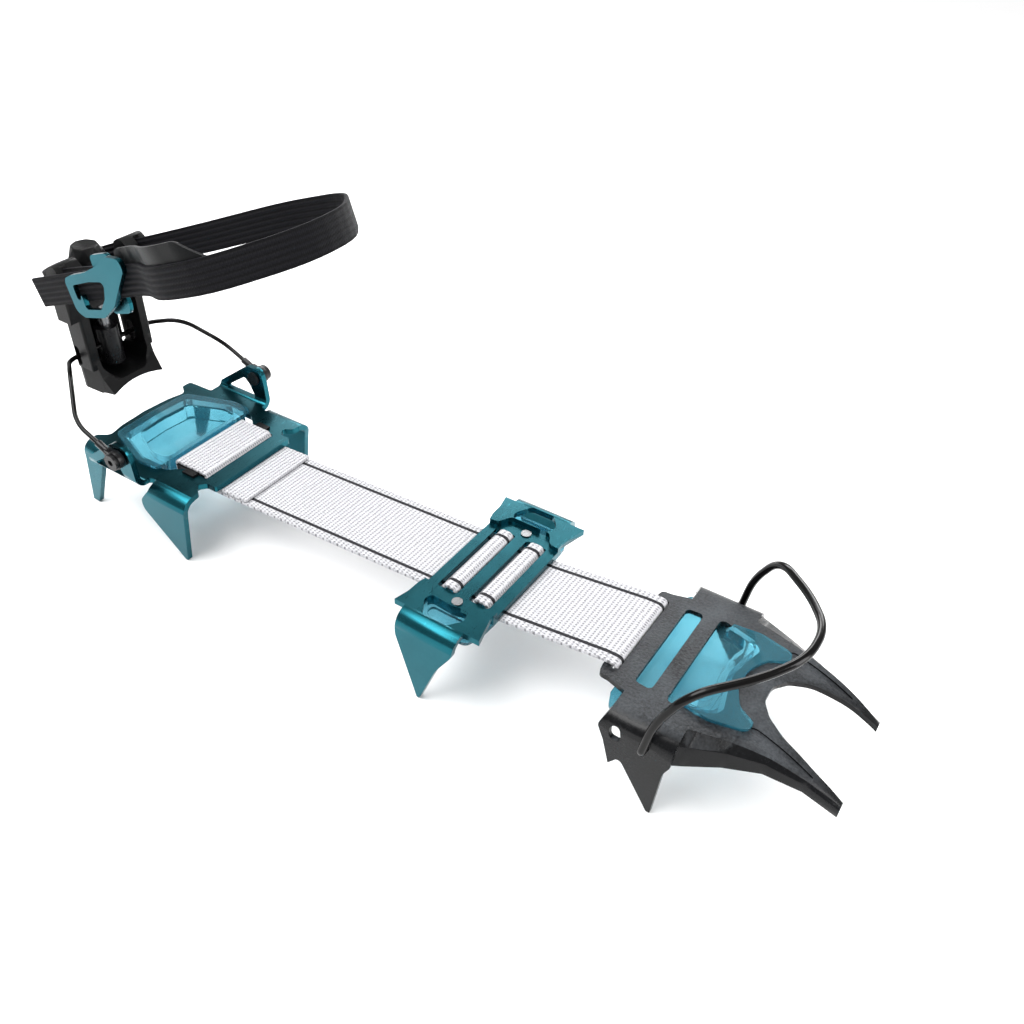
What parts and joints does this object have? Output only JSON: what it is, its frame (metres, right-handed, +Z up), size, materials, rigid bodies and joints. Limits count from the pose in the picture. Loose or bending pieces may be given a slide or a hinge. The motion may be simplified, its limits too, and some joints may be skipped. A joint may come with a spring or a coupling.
{
  "type": "strap-linked crampon",
  "caption": "Hybrid crampon: steel toe piece with wire bail, slotted middle plate and aluminium heel joined by flat webbing, with a cable heel lever and ankle strap.",
  "frame": {"origin": "centre of the base, level with the point tips", "axes": "+X from the heel to the toes, +Y to the left, +Z up to the boot"},
  "size_m": [0.3728, 0.0918, 0.1557],
  "materials": {
    "teal_aluminium": "teal anodised",
    "black_steel": "black coated",
    "black_wire": "smooth black coating",
    "bare_steel": "plain",
    "clear_blue_plastic": "translucent blue",
    "black_plastic": "matte black",
    "black_label": "matte black",
    "white_webbing": "woven white with dark edge lines",
    "black_webbing": "ribbed black"
  },
  "bodies": {
    "heel": {"heel_plate": "teal_aluminium", "heel_skid_plate": "clear_blue_plastic", "strap_lock_bar": "black_plastic", "strap_heel_end": "white_webbing", "cable_bolt_left": "black_steel", "cable_bolt_right": "black_steel"},
    "middle": {"mid_plate": "teal_aluminium", "mid_skid_plate": "clear_blue_plastic", "mid_rivets": "bare_steel", "strap_middle": "white_webbing"},
    "toe": {"toe_plate": "black_steel", "toe_skid_plate": "clear_blue_plastic", "strap_toe_end": "white_webbing"},
    "bail": {"toe_bail": "black_wire"},
    "cable": {"heel_cable": "black_wire", "cable_eye_left": "black_steel", "cable_eye_right": "black_steel"},
    "barrel": {"barrel_nut": "black_steel"},
    "lever": {"lever_housing": "black_plastic", "ankle_strap": "black_webbing", "buckle_hook": "teal_aluminium", "buckle_plate": "teal_aluminium", "strap_label": "black_label"},
    "knob": {"adjust_knob": "black_plastic", "adjust_screw": "bare_steel"}
  },
  "joints": [
    {"name": "rear_fold", "type": "hinge", "parent": "heel", "child": "middle", "pos_m": [-0.03199, 0, 0.03068], "axis": [0, 1, 0], "range_deg": [-60, 60]},
    {"name": "front_fold", "type": "hinge", "parent": "middle", "child": "toe", "pos_m": [0.07726, 0, 0.03635], "axis": [0, 1, 0], "range_deg": [-60, 60]},
    {"name": "bail_pivot", "type": "hinge", "parent": "toe", "child": "bail", "pos_m": [0.12501, 0, 0.0305], "axis": [0, 1, 0], "range_deg": [-85, 20]},
    {"name": "cable_pivot", "type": "hinge", "parent": "heel", "child": "cable", "pos_m": [-0.12099, 0, 0.0445], "axis": [0, 1, 0], "range_deg": [-12, 30]},
    {"name": "lever_tilt", "type": "hinge", "parent": "cable", "child": "barrel", "pos_m": [-0.16899, 0, 0.065], "axis": [0, 1, 0], "range_deg": [-35, 12]},
    {"name": "screw_travel", "type": "slide", "parent": "barrel", "child": "lever", "axis": [0, 0, 1], "range_m": [-0.003, 0.002]},
    {"name": "knob_spin", "type": "hinge", "parent": "lever", "child": "knob", "pos_m": [-0.16899, 0, 0.101], "axis": [0, 0, 1], "range_deg": [-1351, 901]}
  ],
  "couplings": [
    {"joint": "knob_spin", "follows": "screw_travel", "rad_per_m": 7854}
  ]
}
